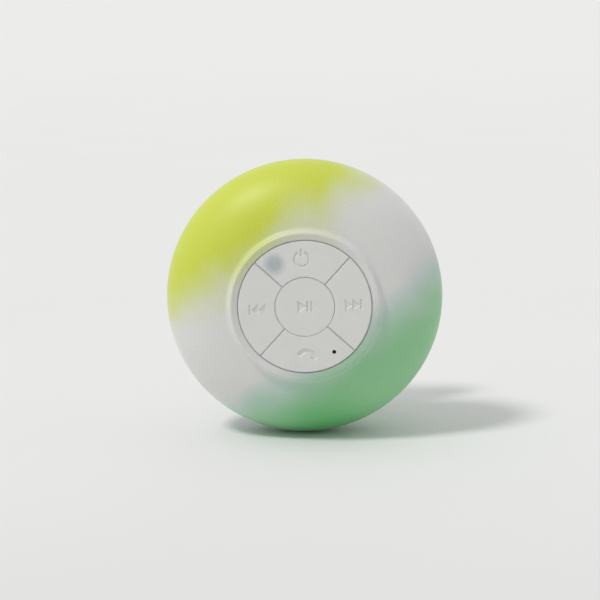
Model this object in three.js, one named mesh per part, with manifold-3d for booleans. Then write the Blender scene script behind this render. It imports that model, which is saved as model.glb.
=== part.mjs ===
// Round shower speaker with a suction cup, a bun-shaped two-piece shell and a five-key pad.
//
// Bench frame used while modelling: X to the right and Y up as seen from the front, Z away from
// the wall. So a piece's "depth" is its distance from the wall that the suction cup sticks to.
// The finished group is turned so that the wall is behind it at +Y and the keys face -Y, +Z up.
// Lengths are millimetres.

import * as THREE from 'three';
import { RoundedBoxGeometry } from 'three/addons/geometries/RoundedBoxGeometry.js';
import { mergeVertices } from 'three/addons/utils/BufferGeometryUtils.js';
import Module from 'manifold-3d';

// ---- driving dimensions ----

const BODY_RADIUS = 43;        // widest ring of the shell
const REAR_DEPTH = 17;         // flat back of the shell
const WIDEST_DEPTH = 36;       // plane of the widest ring
const LIP_DEPTH = 55;          // crest of the lip round the key pad
const FLAT_RADIUS = 20;        // the shell's section is an ellipse outside this radius
const WALL = 2.2;              // shell wall
const REAR_WALL = 2.5;
const GAP = 0.3;               // between pieces that would touch
const SEAM_DEPTH = 35;         // joint between the two shells

const PAD_RADIUS = 20;         // outer edge of the ring of keys
const PAD_DEPTH = 54.4;        // face of the keys
const KEY_THICKNESS = 3.5;
const KEY_GAP = 0.36;
const CENTRE_KEY_RADIUS = 8.85;
const KEY_HOLE_RADIUS = PAD_RADIUS + 0.35; // opening in the front shell round the keys
const SWITCH_RADIUS = 14.5;    // where the four outer switches stand

const CUP_RADIUS = 31;
const STEM_RADIUS = 3.2;
const STEM_HEAD_RADIUS = 4.7;
const RUNNING_GAP = 0.4;       // radial play of the cup's stem in its socket

const BOARD_DEPTH = 44.4;      // back of the main board
const BOARD_THICKNESS = 1.6;
const BOARD_FRONT = BOARD_DEPTH + BOARD_THICKNESS;
const BOARD_RADIUS = 29.3;
const BOARD_BOSS_RADIUS = 27;  // ring on which the board's screws stand
const SHELL_BOSS_RADIUS = 34.5; // ring on which the shell's screws stand
const DRIVER_BOSS_RADIUS = 22; // ring on which the driver's screws stand

const SHELL_SCREW = { headRadius: 2.4, headHeight: 1.8, shaftRadius: 1.15, shaftLength: 14 };
const SMALL_SCREW = { headRadius: 2.1, headHeight: 1.3, shaftRadius: 0.9, shaftLength: 4.8 };
const SHELL_SCREW_HOLE = 1.5;
const SMALL_SCREW_HOLE = 1.2;

const PORT_DEPTH = 29.3;       // centre of the charging port, on the right side
const PORT_FLOOR_X = 38;       // floor of the pocket round the port

const AROUND = 40;             // facets round the large rings
const DRIVER_AROUND = 24;      // facets round the driver's rings
const SMALL_AROUND = 12;       // facets round screws and other small rounds

// ---- solids ----

const wasm = await Module();
wasm.setup();

// A closed geometry as a solid that can be joined and cut.
function toSolid(geometry) {
  const bare = geometry.clone();
  bare.deleteAttribute('normal');
  bare.deleteAttribute('uv');
  const merged = mergeVertices(bare, 1e-4);
  const corners = merged.index.array;
  const triangles = [];
  for (let i = 0; i < corners.length; i += 3) {
    const [a, b, c] = [corners[i], corners[i + 1], corners[i + 2]];
    if (a !== b && b !== c && c !== a) triangles.push(a, b, c);
  }
  return new wasm.Manifold(new wasm.Mesh({
    numProp: 3,
    vertProperties: new Float32Array(merged.attributes.position.array),
    triVerts: new Uint32Array(triangles),
  }));
}

function toGeometry(solid) {
  const mesh = solid.getMesh();
  const geometry = new THREE.BufferGeometry();
  geometry.setAttribute('position', new THREE.BufferAttribute(new Float32Array(mesh.vertProperties), 3));
  geometry.setIndex(new THREE.BufferAttribute(new Uint32Array(mesh.triVerts), 1));
  geometry.computeVertexNormals();
  return geometry;
}

function joined(first, ...others) {
  return others.reduce((whole, piece) => whole.add(piece), first);
}

function cut(blank, ...tools) {
  return tools.reduce((whole, tool) => whole.subtract(tool), blank);
}

// A solid turned about the depth axis from [radius, depth] points that run anticlockwise.
function turned(profile, around = AROUND) {
  const points = profile.map(([radius, depth]) => new THREE.Vector2(radius, depth));
  const last = points[points.length - 1];
  const onAxis = points[0].x === 0 && last.x === 0;
  if (!onAxis) points.push(points[0].clone());
  return toSolid(new THREE.LatheGeometry(points, around).rotateX(Math.PI / 2));
}

function ring(innerRadius, outerRadius, back, front, around = AROUND) {
  return turned([[innerRadius, back], [outerRadius, back], [outerRadius, front], [innerRadius, front]], around);
}

function disc(radius, back, front, around = SMALL_AROUND) {
  return turned([[0, back], [radius, back], [radius, front], [0, front]], around);
}

// Points on an ellipse about [radius, depth], from one angle to another in degrees.
function arc([radius, depth], [width, height], from, to, steps) {
  return Array.from({ length: steps + 1 }, (_, i) => {
    const angle = THREE.MathUtils.degToRad(from + ((to - from) * i) / steps);
    return [radius + width * Math.cos(angle), depth + height * Math.sin(angle)];
  });
}

// A flat outline in X and Y, extruded from one depth to another.
function plate(shape, back, front, curveSegments = 12) {
  const geometry = new THREE.ExtrudeGeometry(shape, {
    depth: front - back, bevelEnabled: false, curveSegments,
  });
  return toSolid(geometry.translate(0, 0, back));
}

function block([minX, maxX], [minY, maxY], [back, front]) {
  const geometry = new THREE.BoxGeometry(maxX - minX, maxY - minY, front - back);
  return toSolid(geometry.translate((minX + maxX) / 2, (minY + maxY) / 2, (back + front) / 2));
}

function roundedBlock([minX, maxX], [minY, maxY], [back, front], radius) {
  const geometry = new RoundedBoxGeometry(maxX - minX, maxY - minY, front - back, 1, radius);
  return toSolid(geometry.translate((minX + maxX) / 2, (minY + maxY) / 2, (back + front) / 2));
}

// An outline with round ends, longer along Y.
function stadium(width, length) {
  const radius = width / 2;
  const straight = length / 2 - radius;
  const shape = new THREE.Shape();
  shape.absarc(0, straight, radius, 0, Math.PI, false);
  shape.absarc(0, -straight, radius, Math.PI, 2 * Math.PI, false);
  return shape;
}

// A round lead along points given as [x, y, depth].
function lead(points, radius) {
  const path = new THREE.CatmullRomCurve3(points.map((point) => new THREE.Vector3(...point)));
  const section = new THREE.Shape().absarc(0, 0, radius, 0, 2 * Math.PI, false);
  return toSolid(new THREE.ExtrudeGeometry(section, { extrudePath: path, steps: 10, curveSegments: 2 }));
}

// [x, y] of a point at a radius and an angle in degrees, anticlockwise from +X.
function polar(radius, degrees) {
  const angle = THREE.MathUtils.degToRad(degrees);
  return [radius * Math.cos(angle), radius * Math.sin(angle)];
}

// The same solid moved to each [x, y].
function atEach(places, solid) {
  return places.map(([x, y]) => solid.translate([x, y, 0]));
}

// ---- scene graph ----

const speaker = new THREE.Group();

function material(color, roughness, metalness = 0) {
  return new THREE.MeshStandardMaterial({ color, roughness, metalness });
}

function addMesh(name, solid, finish, parent = speaker, [x, y] = [0, 0]) {
  const mesh = new THREE.Mesh(toGeometry(solid), finish);
  mesh.name = name;
  mesh.position.set(x, y, 0);
  parent.add(mesh);
  return mesh;
}

const chartreuse = () => material(0xd4de64, 0.62);
const mint = () => material(0x7dbe86, 0.62);
const keyWhite = () => material(0xdededc, 0.55);
const clearRubber = () => material(0xe6eeea, 0.25);
const darkRubber = () => material(0x2c2d2f, 0.85);
const blackPlastic = () => material(0x202124, 0.6);
const greenBoard = () => material(0x1f6b3f, 0.5);
const steel = () => material(0xb9bcc0, 0.35, 1);
const copper = () => material(0xb8703a, 0.4, 1);
const foil = () => material(0xc8cacd, 0.4, 0.8);
const ferrite = () => material(0x37383a, 0.7, 0.2);
const paper = () => material(0x2a2a2c, 0.9);
const foam = () => material(0x4a4a4c, 0.95);
const leadRed = () => material(0xb3352c, 0.5);

// ---- shells ----

const FLAT_EDGE = [FLAT_RADIUS, WIDEST_DEPTH];
const RIM = BODY_RADIUS - FLAT_RADIUS;
const FRONT_RISE = 17.5;                            // from the widest ring to the front of the ellipse
const REAR_RISE = WIDEST_DEPTH - REAR_DEPTH;
const INNER_RIM = RIM - WALL;
const INNER_FRONT_RISE = FRONT_RISE - WALL;
const INNER_REAR_RISE = REAR_RISE - REAR_WALL;

// Angle on an ellipse about FLAT_EDGE at which it stands at a depth or a radius.
const angleAtDepth = (depth, rise) => THREE.MathUtils.radToDeg(Math.asin((depth - WIDEST_DEPTH) / rise));
const angleAtRadius = (radius, rim) => THREE.MathUtils.radToDeg(Math.acos((radius - FLAT_RADIUS) / rim));

const SEAL_LEDGE_RADIUS = 38.6;
const SEAL_LEDGE_DEPTH = 33;
const LIP_ROUND = 0.6;
const LIP_RADIUS = PAD_RADIUS + 2.1;                // crest of the lip
const LIP_SLOPE = 28;                               // degrees, from the crest down to the keys
const LIP_FOOT_RADIUS = 25.2;
const LEDGE_RADIUS = 24.8;
const LEDGE_DEPTH = PAD_DEPTH - KEY_THICKNESS - 0.4; // the front wall's inner face round the pad
const BOSS_PLACES = [45, 135, 225, 315].map((degrees) => polar(SHELL_BOSS_RADIUS, degrees));
const BOARD_SCREW_PLACES = [90, 210, 330].map((degrees) => polar(BOARD_BOSS_RADIUS, degrees));
const DRIVER_SCREW_PLACES = [30, 150, 270].map((degrees) => polar(DRIVER_BOSS_RADIUS, degrees));

// The front shell's outside, from the seam over the rounded rim to the lip round the key pad.
function frontOutside() {
  const rim = arc(FLAT_EDGE, [RIM, FRONT_RISE], angleAtDepth(SEAM_DEPTH + GAP, FRONT_RISE),
    angleAtRadius(LIP_FOOT_RADIUS, RIM), 8);
  const lipTop = [LIP_RADIUS, LIP_DEPTH - LIP_ROUND];
  const crest = arc(lipTop, [LIP_ROUND, LIP_ROUND], 35, 90 + LIP_SLOPE, 3);
  const foot = new THREE.QuadraticBezierCurve(
    new THREE.Vector2(...rim[rim.length - 1]),
    new THREE.Vector2(crest[0][0] + 0.6, crest[0][1] - 0.9),
    new THREE.Vector2(...crest[0]),
  ).getPoints(3).slice(1, -1).map((point) => [point.x, point.y]);
  const [crestRadius, crestDepth] = crest[crest.length - 1];
  const fall = (crestRadius - KEY_HOLE_RADIUS) * Math.tan(THREE.MathUtils.degToRad(LIP_SLOPE));
  return [...rim, ...foot, ...crest, [KEY_HOLE_RADIUS, crestDepth - fall]];
}

function frontInside() {
  const innerRim = arc(FLAT_EDGE, [INNER_RIM, INNER_FRONT_RISE], angleAtRadius(LEDGE_RADIUS, INNER_RIM),
    angleAtDepth(WIDEST_DEPTH + 1, INNER_FRONT_RISE), 4);
  return [
    [KEY_HOLE_RADIUS, LEDGE_DEPTH], [LEDGE_RADIUS, LEDGE_DEPTH],
    ...innerRim,
    [SEAL_LEDGE_RADIUS, WIDEST_DEPTH + 0.5], [SEAL_LEDGE_RADIUS, SEAM_DEPTH + GAP],
  ];
}

// The space inside the front shell, which trims the screw bosses that stand in it.
function frontHollow() {
  const rim = arc(FLAT_EDGE, [INNER_RIM + 1, INNER_FRONT_RISE + 1], 0, angleAtRadius(24, INNER_RIM + 1), 6);
  return turned([[0, WIDEST_DEPTH], ...rim, [0, rim[rim.length - 1][1]]]);
}

function frontShell() {
  const shell = turned([...frontOutside(), ...frontInside()]);
  const boardBosses = atEach(BOARD_SCREW_PLACES, disc(2.3, BOARD_FRONT + GAP, LIP_DEPTH));
  const shellBosses = atEach(BOSS_PLACES, disc(3.6, 37, LIP_DEPTH));
  const bosses = joined(...boardBosses, ...shellBosses).intersect(frontHollow());
  return cut(
    shell.add(bosses),
    ...atEach(BOARD_SCREW_PLACES, disc(SMALL_SCREW_HOLE, BOARD_FRONT, 49.6)),
    ...atEach(BOSS_PLACES, disc(SHELL_SCREW_HOLE, 36, 43)),
  );
}

const SOCKET_RADIUS = STEM_HEAD_RADIUS + RUNNING_GAP;
const SOCKET_LIP_DEPTH = REAR_DEPTH + 1.6;
const SOCKET_END = 22.4;
const SCREW_SEAT = 27;

function rearOutside() {
  return arc(FLAT_EDGE, [RIM, REAR_RISE], -90, angleAtDepth(SEAM_DEPTH, REAR_RISE), 8);
}

function rearInside() {
  return [
    [BODY_RADIUS - WALL, SEAM_DEPTH], [BODY_RADIUS - WALL, SEAL_LEDGE_DEPTH],
    [SEAL_LEDGE_RADIUS, SEAL_LEDGE_DEPTH],
    ...arc(FLAT_EDGE, [INNER_RIM, INNER_REAR_RISE], -26, -90, 5),
  ];
}

// The body's full outline with nothing hollow, used to trim what must be flush with it.
function wholeBody() {
  const rear = arc(FLAT_EDGE, [RIM, REAR_RISE], -90, 0, 9);
  return turned([[0, REAR_DEPTH], ...rear, [0, WIDEST_DEPTH]]);
}

const PORT_POCKET = { y: [-7.6, 7], depth: [PORT_DEPTH - 2.8, PORT_DEPTH + 2.8] };

// An outline with round ends, longer along Y, pushed through the right side of the shell.
function alongX(shape, fromX, toX) {
  const geometry = new THREE.ExtrudeGeometry(shape, {
    depth: toX - fromX, bevelEnabled: false, curveSegments: 6,
  });
  return toSolid(geometry.rotateY(Math.PI / 2).translate(fromX, 0, PORT_DEPTH));
}

function rearShell() {
  const wall = turned([
    [STEM_RADIUS + RUNNING_GAP, REAR_DEPTH],
    ...rearOutside(), ...rearInside(),
    [7.4, REAR_DEPTH + REAR_WALL], [7.4, 23.8], [0, 23.8],
    [0, SOCKET_END], [SOCKET_RADIUS, SOCKET_END], [SOCKET_RADIUS, SOCKET_LIP_DEPTH],
    [STEM_RADIUS + RUNNING_GAP, SOCKET_LIP_DEPTH],
  ]);
  const bosses = joined(
    ...atEach(BOSS_PLACES, disc(4, 20, 31)),
    ...atEach(DRIVER_SCREW_PLACES, disc(2.2, 19, 21.7)),
    block([35.5, 42], [-9.2, 8.6], [PORT_DEPTH - 4.1, SEAL_LEDGE_DEPTH]),
  ).intersect(wholeBody());
  return cut(
    wall.add(bosses),
    ...soundSlots(),
    ...atEach(BOSS_PLACES, disc(SHELL_SCREW.headRadius + 0.5, 15, SCREW_SEAT)),
    ...atEach(BOSS_PLACES, disc(SHELL_SCREW_HOLE, 15, 32)),
    ...atEach(DRIVER_SCREW_PLACES, disc(SMALL_SCREW_HOLE, 18.4, 22)),
    block([PORT_FLOOR_X, 50], PORT_POCKET.y, PORT_POCKET.depth),
    alongX(stadium(3.8, 9.6), 34, 40),
  );
}

// Radial slots through the flat back, which the driver plays through.
function soundSlots() {
  const slot = block([11, 17.2], [-0.8, 0.8], [REAR_DEPTH - 1, REAR_DEPTH + REAR_WALL + 0.2]);
  const count = 16;
  return Array.from({ length: count }, (_, i) => slot.rotate([0, 0, ((i + 0.5) * 360) / count]));
}

// ---- suction cup ----

function suctionCup() {
  const domeTop = [8, 12.6];
  const tabRadius = 4;
  const tabCentre = CUP_RADIUS + 3;
  const outside = new THREE.CubicBezierCurve(
    new THREE.Vector2(CUP_RADIUS, 1.3), new THREE.Vector2(CUP_RADIUS - 6, 5.6),
    new THREE.Vector2(17, 11), new THREE.Vector2(...domeTop),
  ).getPoints(6).map((point) => [point.x, point.y]);
  const inside = new THREE.CubicBezierCurve(
    new THREE.Vector2(0, 8.6), new THREE.Vector2(13, 8.6),
    new THREE.Vector2(21, 4.6), new THREE.Vector2(CUP_RADIUS - 3.4, 0),
  ).getPoints(6).map((point) => [point.x, point.y]);
  const neckDepth = REAR_DEPTH - RUNNING_GAP;
  const cup = turned([
    ...inside, [CUP_RADIUS, 0],
    ...outside, [8, neckDepth],
    [STEM_RADIUS, neckDepth], [STEM_RADIUS, SOCKET_LIP_DEPTH + GAP],
    [STEM_HEAD_RADIUS, SOCKET_LIP_DEPTH + GAP], [STEM_HEAD_RADIUS, 20.4],
    [STEM_RADIUS, SOCKET_END - GAP], [0, SOCKET_END - GAP],
  ]);
  const tab = new THREE.Shape();
  tab.moveTo(-tabRadius - 1, -(CUP_RADIUS - 2));
  tab.lineTo(-tabRadius, -tabCentre);
  tab.absarc(0, -tabCentre, tabRadius, Math.PI, 2 * Math.PI, false);
  tab.lineTo(tabRadius + 1, -(CUP_RADIUS - 2));
  tab.closePath();
  return cup.add(plate(tab, 0.5, 1.9, 8));
}

// ---- key pad ----

const KEY_BACK = PAD_DEPTH - KEY_THICKNESS;
const RING_KEY_INNER = CENTRE_KEY_RADIUS + KEY_GAP;
const MICROPHONE = [8.1, -14.3];
const STATUS_LED = [-8.2, 13.1];

// A quarter of the ring of keys, about the +Y direction, with parallel sides along the grooves.
function ringKey() {
  const inner = RING_KEY_INNER;
  const sideAngle = (radius) => Math.asin(KEY_GAP / 2 / radius);
  const quarter = Math.PI / 4;
  const shape = new THREE.Shape();
  shape.absarc(0, 0, PAD_RADIUS, quarter + sideAngle(PAD_RADIUS), 3 * quarter - sideAngle(PAD_RADIUS), false);
  shape.absarc(0, 0, inner, 3 * quarter - sideAngle(inner), quarter + sideAngle(inner), true);
  shape.closePath();
  return plate(shape, KEY_BACK, PAD_DEPTH, 10);
}

const KEYS = [
  { name: 'power', degrees: 90 },
  { name: 'previous', degrees: 180 },
  { name: 'call', degrees: 270 },
  { name: 'next', degrees: 0 },
];

function switchBody() {
  const half = 2.25;
  const well = disc(1.6, 46.9, 49, SMALL_AROUND);
  return cut(block([-half, half], [-half, half], [46.3, 48.3]), well);
}

function switchPlunger() {
  return disc(1.2, 47.5, 49.2, 16);
}

function addKeyPad() {
  for (const { name, degrees } of KEYS) {
    const blank = ringKey().rotate([0, 0, degrees - 90]);
    const key = name === 'call' ? cut(blank, disc(0.55, 50, 55, 12).translate([...MICROPHONE, 0])) : blank;
    addMesh(`key_${name}`, key, keyWhite());
    addSwitch(name, polar(SWITCH_RADIUS, degrees));
  }
  addMesh('key_play_pause', disc(CENTRE_KEY_RADIUS, KEY_BACK, PAD_DEPTH, AROUND), keyWhite());
  addSwitch('play_pause', [0, 0]);

  const membrane = cut(disc(23, 49.6, 50.2, AROUND), disc(0.8, 49, 51, 12).translate([...MICROPHONE, 0]));
  addMesh('keypad_membrane', membrane, clearRubber());
  addMesh('keypad_frame', ring(20.6, 24.2, 47.8, 49.3), blackPlastic());
}

function addSwitch(name, place) {
  addMesh(`switch_${name}`, switchBody(), blackPlastic(), speaker, place);
  addMesh(`plunger_${name}`, switchPlunger(), keyWhite(), speaker, place);
}

// ---- screws ----

// A pan-head screw with a cross recess, its tip pointing away from the wall.
function screw({ headRadius, headHeight, shaftRadius, shaftLength }) {
  const head = turned([
    [0, -headHeight], [headRadius * 0.7, -headHeight], [headRadius, -headHeight * 0.5],
    [headRadius, 0], [shaftRadius, 0], [shaftRadius, shaftLength * 0.85],
    [shaftRadius * 0.3, shaftLength], [0, shaftLength],
  ], 10);
  const slotWidth = headRadius * 0.14;
  const slotReach = headRadius * 0.5;
  const slotDepth = [-headHeight - 1, -headHeight * 0.5];
  const recess = joined(
    block([-slotWidth, slotWidth], [-slotReach, slotReach], slotDepth),
    block([-slotReach, slotReach], [-slotWidth, slotWidth], slotDepth),
  );
  return cut(head, recess);
}

function addScrews(name, places, seatDepth, solid) {
  const seated = solid.translate([0, 0, seatDepth]);
  places.forEach((place, i) => addMesh(`${name}_${i + 1}`, seated, steel(), speaker, place));
}

// ---- boards and battery ----

function addMainBoard() {
  const blank = disc(BOARD_RADIUS, BOARD_DEPTH, BOARD_FRONT, DRIVER_AROUND);
  const screwHole = disc(SMALL_SCREW_HOLE + 0.1, BOARD_DEPTH - 1, BOARD_FRONT + 1, 14);
  addMesh('main_board', cut(blank, ...atEach(BOARD_SCREW_PLACES, screwHole)), greenBoard());

  const onFront = BOARD_FRONT + GAP;
  addMesh('status_led', turned([[0, 0], [1.5, 0], ...arc([0, 0.3], [1.5, 1], 0, 90, 4)], 16)
    .translate([0, 0, onFront]), material(0xdfe8ff, 0.2), speaker, STATUS_LED);
  addMesh('microphone', disc(2, onFront, onFront + 1.5), foil(), speaker, MICROPHONE);
  addMesh('microphone_boot', ring(2.3, 3, onFront, 49.2, 20), darkRubber(), speaker, MICROPHONE);

  const behind = [BOARD_DEPTH - GAP - 1.1, BOARD_DEPTH - GAP];
  addMesh('wireless_chip', block([-8.5, -3.5], [-20.5, -15.5], behind), blackPlastic());
  addMesh('amplifier_chip', block([5, 10], [15.5, 20.5], behind), blackPlastic());
  addScrews('board_screw', BOARD_SCREW_PLACES, BOARD_DEPTH - GAP, screw(SMALL_SCREW));
}

function addBattery() {
  const halfWidth = 16;
  const halfHeight = 11;
  addMesh('battery', roundedBlock([-halfWidth, halfWidth], [-halfHeight, halfHeight], [38.6, 42.8], 1.2), foil());
  addMesh('battery_pad', block([-14, 14], [-9, 9], [43.1, 44.1]), foam());
}

// ---- charging port ----

const MOUTH_X = PORT_FLOOR_X - GAP;
const CHARGE_BOARD_TOP = PORT_DEPTH - 1.6 - GAP;
const COVER_TOP = PORT_POCKET.y[1] - GAP;

function chargePort() {
  const shell = alongX(stadium(3.2, 9), MOUTH_X - 7.5, MOUTH_X);
  return cut(shell, alongX(stadium(2.6, 8.4), MOUTH_X - 6.7, MOUTH_X + 1));
}

// The port's flush plug: the shell's own outline outside, and a short ridge that enters the port.
function portCover() {
  const [back, front] = PORT_POCKET.depth;
  const flap = block([PORT_FLOOR_X + GAP, 50], [-6, COVER_TOP], [back + GAP, front - GAP]).intersect(wholeBody());
  return flap.add(alongX(stadium(1.8, 7), MOUTH_X - 1, PORT_FLOOR_X + 1));
}

function addChargingPort() {
  addMesh('charge_port', chargePort(), steel());
  addMesh('charge_port_tongue', block([MOUTH_X - 6.4, MOUTH_X - 1.4], [-3.3, 3.3],
    [PORT_DEPTH - 0.35, PORT_DEPTH + 0.35]), blackPlastic());
  addMesh('charge_board', block([26, 35], [-8, 8], [CHARGE_BOARD_TOP - 1, CHARGE_BOARD_TOP]), greenBoard());
  addMesh('port_cover', portCover(), mint());
}

// ---- driver, playing towards the wall ----

const FLANGE_BACK = 22;         // the basket's flange, which the driver's screws hold
const FLANGE_FRONT = 23.2;
const FLANGE_INNER = 17;
const CONE_RIM_DEPTH = 21.9;
const CONE_RIM_RADIUS = 14.3;
const CONE_NECK_RADIUS = 6.5;
const CONE_NECK_DEPTH = 28.1;
const COIL_RADIUS = 6.2;        // outer radius
const COIL_INNER = COIL_RADIUS - 0.5;
const PLATE_BACK = 31.2;        // the magnet's steel plate on the wall's side

function driverBasket() {
  const wall = 0.7;
  const frame = turned([
    [FLANGE_INNER, FLANGE_BACK], [20, FLANGE_BACK], [20, FLANGE_FRONT],
    [FLANGE_INNER + wall, FLANGE_FRONT], [12.6 + wall, 30.9],
    [7.4, 30.9], [7.4, 30.1], [12.6, 30.1],
  ], DRIVER_AROUND);
  const ears = atEach(DRIVER_SCREW_PLACES, disc(2.8, FLANGE_BACK, FLANGE_FRONT));
  const inside = disc(18.4, FLANGE_BACK - 1, FLANGE_FRONT + 1, DRIVER_AROUND);
  const windows = [0, 90, 180, 270].map((degrees) => (
    block([12, 18], [-4, 4], [25, 28.6]).rotate([0, 0, degrees + 45])
  ));
  return cut(
    joined(frame, cut(joined(...ears), inside)),
    ...windows,
    ...atEach(DRIVER_SCREW_PLACES, disc(SMALL_SCREW_HOLE + 0.1, FLANGE_BACK - 1, FLANGE_FRONT + 1, 14)),
  );
}

function driverCone() {
  const sheet = 0.5;
  const side = (from, to) => new THREE.QuadraticBezierCurve(
    new THREE.Vector2(...from), new THREE.Vector2(10.2, (from[1] + to[1]) / 2 + 0.9), new THREE.Vector2(...to),
  ).getPoints(3).map((point) => [point.x, point.y]);
  const wallSide = side([CONE_NECK_RADIUS, CONE_NECK_DEPTH], [CONE_RIM_RADIUS, CONE_RIM_DEPTH]);
  const backSide = side([CONE_RIM_RADIUS, CONE_RIM_DEPTH + sheet], [CONE_NECK_RADIUS, CONE_NECK_DEPTH + sheet]);
  return turned([...wallSide, ...backSide], DRIVER_AROUND);
}

function driverSurround() {
  const middle = [(CONE_RIM_RADIUS + FLANGE_INNER) / 2, CONE_RIM_DEPTH];
  const roll = (FLANGE_INNER - CONE_RIM_RADIUS) / 2 - GAP;
  return turned([
    ...arc(middle, [roll, roll], -180, 0, 5),
    ...arc(middle, [roll - 0.4, roll - 0.4], 0, -180, 5),
  ], DRIVER_AROUND);
}

function driverSpider() {
  const sheet = 0.35;
  const waves = Array.from({ length: 6 }, (_, i) => [7.5 + i * 0.93, 29.35 + (i % 2) * 0.25]);
  return turned([...waves, ...waves.map(([radius, depth]) => [radius, depth + sheet]).reverse()], DRIVER_AROUND);
}

function addDriver() {
  const gasket = ring(17.9, 19.4, REAR_DEPTH + REAR_WALL + GAP, FLANGE_BACK - GAP, DRIVER_AROUND);
  addMesh('driver_gasket', gasket, foam());
  addMesh('driver_basket', driverBasket(), blackPlastic());
  addMesh('driver_surround', driverSurround(), darkRubber());
  addMesh('driver_cone', driverCone(), paper());
  addMesh('driver_dust_cap', turned([
    ...arc([0, 27.9], [COIL_INNER, 1.9], -90, 0, 4), ...arc([0, 27.9], [COIL_INNER - 0.5, 1.5], 0, -90, 4),
  ], DRIVER_AROUND), paper());
  addMesh('driver_voice_coil', ring(COIL_INNER, COIL_RADIUS, 28.4, 33.5, DRIVER_AROUND), copper());
  addMesh('driver_spider', driverSpider(), material(0xc9a15a, 0.9));
  addMesh('driver_top_plate', ring(COIL_RADIUS + GAP, 13, PLATE_BACK, 32.7, DRIVER_AROUND), steel());
  addMesh('driver_magnet', ring(8.2, 14, 33, 36, DRIVER_AROUND), ferrite());
  addMesh('driver_yoke', turned([
    [0, PLATE_BACK], [COIL_INNER - GAP, PLATE_BACK], [COIL_INNER - GAP, 36.3],
    [13.4, 36.3], [13.4, 37.7], [0, 37.7],
  ], DRIVER_AROUND), steel());
  addMesh('driver_terminal', block([-3, 3], [17.2, 18.2], [24.5, 27.5]), greenBoard());
  const towardWall = screw(SMALL_SCREW).rotate([180, 0, 0]);
  addScrews('driver_screw', DRIVER_SCREW_PLACES, FLANGE_FRONT + GAP, towardWall);
}

// ---- leads inside the shell ----

function addLeads() {
  const radius = 0.7;
  addMesh('speaker_lead', lead([[0, 18.9, 27], [0, 20, 31], [1, 22, 38], [1.5, 21.5, 43.9]], radius), leadRed());
  addMesh('battery_lead', lead([[-16.4, 2, 40.8], [-19, 3, 40.6], [-21.4, 5, 41.8], [-21.8, 7, 43.9]], radius),
    leadRed());
  addMesh('charge_lead', lead([[28, 6.4, 27.8], [28.4, 7, 31], [26, 8, 38], [24.8, 8, 43.9]], radius), leadRed());
}

// ---- assembly ----

speaker.rotation.x = Math.PI / 2;

addMesh('suction_cup', suctionCup(), clearRubber());
addMesh('rear_shell', rearShell(), mint());
addMesh('front_shell', frontShell(), chartreuse());
addMesh('shell_seal', ring(39, 40.4, SEAL_LEDGE_DEPTH + GAP, SEAM_DEPTH, AROUND), darkRubber());
const meshBack = REAR_DEPTH + REAR_WALL + GAP;
addMesh('acoustic_mesh', ring(9, 17.5, meshBack, meshBack + 0.3, DRIVER_AROUND), darkRubber());
addScrews('shell_screw', BOSS_PLACES, SCREW_SEAT - GAP, screw(SHELL_SCREW));
addKeyPad();
addMainBoard();
addBattery();
addChargingPort();
addDriver();
addLeads();

const group = new THREE.Group();
group.add(speaker);

export default group;
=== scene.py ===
"""Looks of the round shower speaker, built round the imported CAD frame.

Row frame: metres, +Y into the wall, the keys face -Y, +Z up, +X right as seen from the front.
A "depth" below is a distance from the wall, so y = -depth.
"""
import math

import bmesh
import bpy
from mathutils import Euler, Matrix, Vector


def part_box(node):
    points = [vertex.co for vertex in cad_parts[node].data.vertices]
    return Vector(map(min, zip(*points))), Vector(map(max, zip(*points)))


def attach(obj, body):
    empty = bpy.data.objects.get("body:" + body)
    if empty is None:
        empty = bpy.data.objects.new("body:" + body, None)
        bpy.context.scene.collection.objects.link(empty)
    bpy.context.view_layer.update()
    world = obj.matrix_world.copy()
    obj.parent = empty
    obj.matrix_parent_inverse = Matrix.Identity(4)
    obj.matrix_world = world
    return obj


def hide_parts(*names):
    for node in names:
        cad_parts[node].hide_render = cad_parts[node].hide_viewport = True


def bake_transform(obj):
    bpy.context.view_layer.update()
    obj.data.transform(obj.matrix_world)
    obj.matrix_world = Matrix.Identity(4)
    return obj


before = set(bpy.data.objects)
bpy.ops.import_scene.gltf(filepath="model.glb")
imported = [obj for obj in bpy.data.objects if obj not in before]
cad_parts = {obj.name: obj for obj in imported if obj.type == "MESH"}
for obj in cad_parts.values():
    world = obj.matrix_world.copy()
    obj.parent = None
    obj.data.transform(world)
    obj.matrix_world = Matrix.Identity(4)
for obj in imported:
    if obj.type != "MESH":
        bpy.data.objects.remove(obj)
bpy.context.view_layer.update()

MM = 0.001

# ---- driving dimensions, from the frame ----

front_low, front_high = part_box("front_shell")
rear_low, rear_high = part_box("rear_shell")
cup_low, cup_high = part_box("suction_cup")
centre_key_low, centre_key_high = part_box("key_play_pause")
power_low, power_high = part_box("key_power")

BODY_RADIUS = front_high.x
LIP_DEPTH = -front_low.y
FRONT_SEAM = -front_high.y
REAR_SEAM = -rear_low.y
REAR_DEPTH = -rear_high.y
WIDEST_DEPTH = REAR_SEAM + 1 * MM
FLAT_RADIUS = 20 * MM               # the shell's section is an ellipse outside this radius
RIM = BODY_RADIUS - FLAT_RADIUS
FRONT_RISE = 17.5 * MM
REAR_RISE = WIDEST_DEPTH - REAR_DEPTH
WALL = 2.2 * MM
REAR_WALL = 2.5 * MM

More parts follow.
